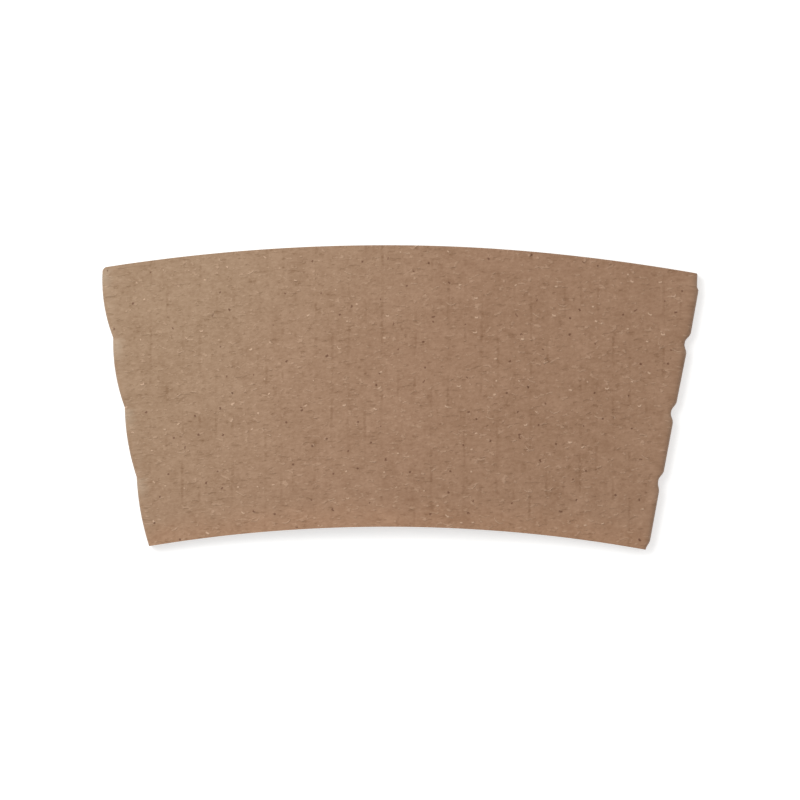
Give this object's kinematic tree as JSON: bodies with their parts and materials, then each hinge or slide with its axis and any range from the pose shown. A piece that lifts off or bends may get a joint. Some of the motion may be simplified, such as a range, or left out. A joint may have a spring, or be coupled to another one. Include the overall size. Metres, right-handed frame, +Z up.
{
  "type": "coffee cup sleeve",
  "caption": "Corrugated kraft card sleeve for a takeaway cup, folded flat, with scalloped folds and a glued lap behind.",
  "frame": {"origin": "On the surface that the sleeve lies on, under the middle of its outline.", "axes": "+X across the flat sleeve from fold to fold, +Y towards its wide edge, +Z up out of its face."},
  "size_m": [0.13, 0.0662, 0.0052],
  "materials": {
    "kraft_card": "matt uncoated kraft card"
  },
  "bodies": {
    "root": {"cup_sleeve": "kraft_card"}
  },
  "joints": []
}
